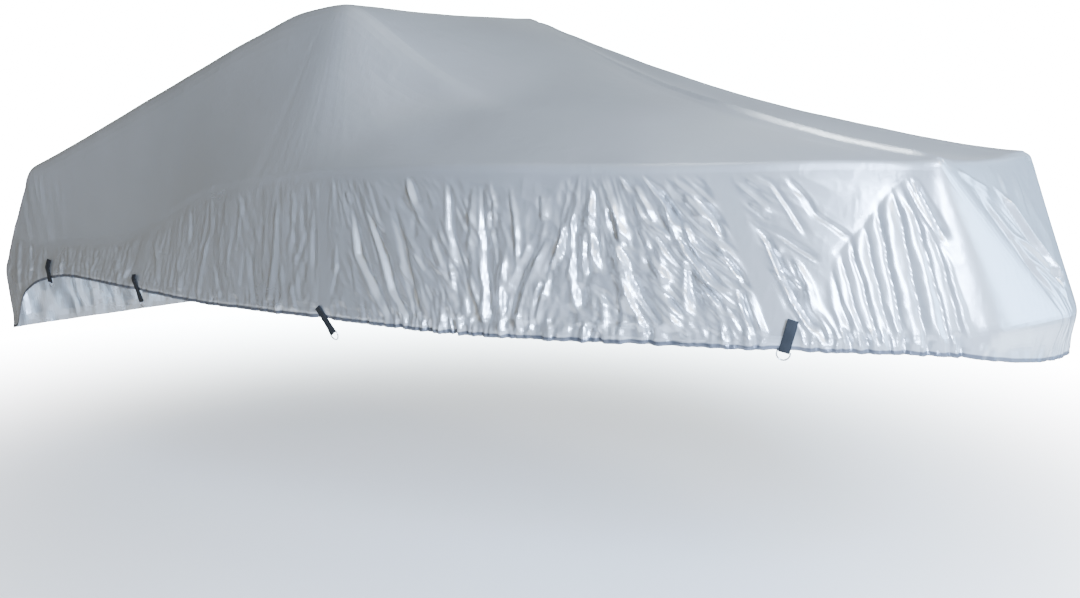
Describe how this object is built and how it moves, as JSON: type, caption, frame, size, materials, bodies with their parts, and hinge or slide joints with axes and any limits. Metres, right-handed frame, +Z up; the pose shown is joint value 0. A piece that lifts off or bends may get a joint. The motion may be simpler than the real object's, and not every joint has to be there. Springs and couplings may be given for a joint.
{
  "type": "boat cover",
  "caption": "Fitted cloth cover for a small cabin boat, hollow and open below, peaked at the windscreen, with webbing loops and D-rings along its hem.",
  "frame": {"origin": "underside of the cloth at the middle of the windscreen ridge, where the boat carries the cover", "axes": "+X from stern to bow, +Y to port, +Z up"},
  "size_m": [5.8336, 2.2649, 1.8095],
  "materials": {
    "cover_cloth": "silver coated woven cloth, satin, creased",
    "webbing": "dark grey woven webbing, matt",
    "ring_steel": "plated steel wire, bright"
  },
  "bodies": {
    "root": {"cover_cloth": "cover_cloth", "starboard_loop_1": "webbing", "starboard_loop_2": "webbing", "starboard_loop_3": "webbing", "starboard_loop_4": "webbing", "starboard_ring_1": "ring_steel", "starboard_ring_2": "ring_steel", "starboard_ring_3": "ring_steel", "starboard_ring_4": "ring_steel", "port_loop_1": "webbing", "port_loop_2": "webbing", "port_loop_3": "webbing", "port_loop_4": "webbing", "port_ring_1": "ring_steel", "port_ring_2": "ring_steel", "port_ring_3": "ring_steel", "port_ring_4": "ring_steel"}
  },
  "joints": []
}
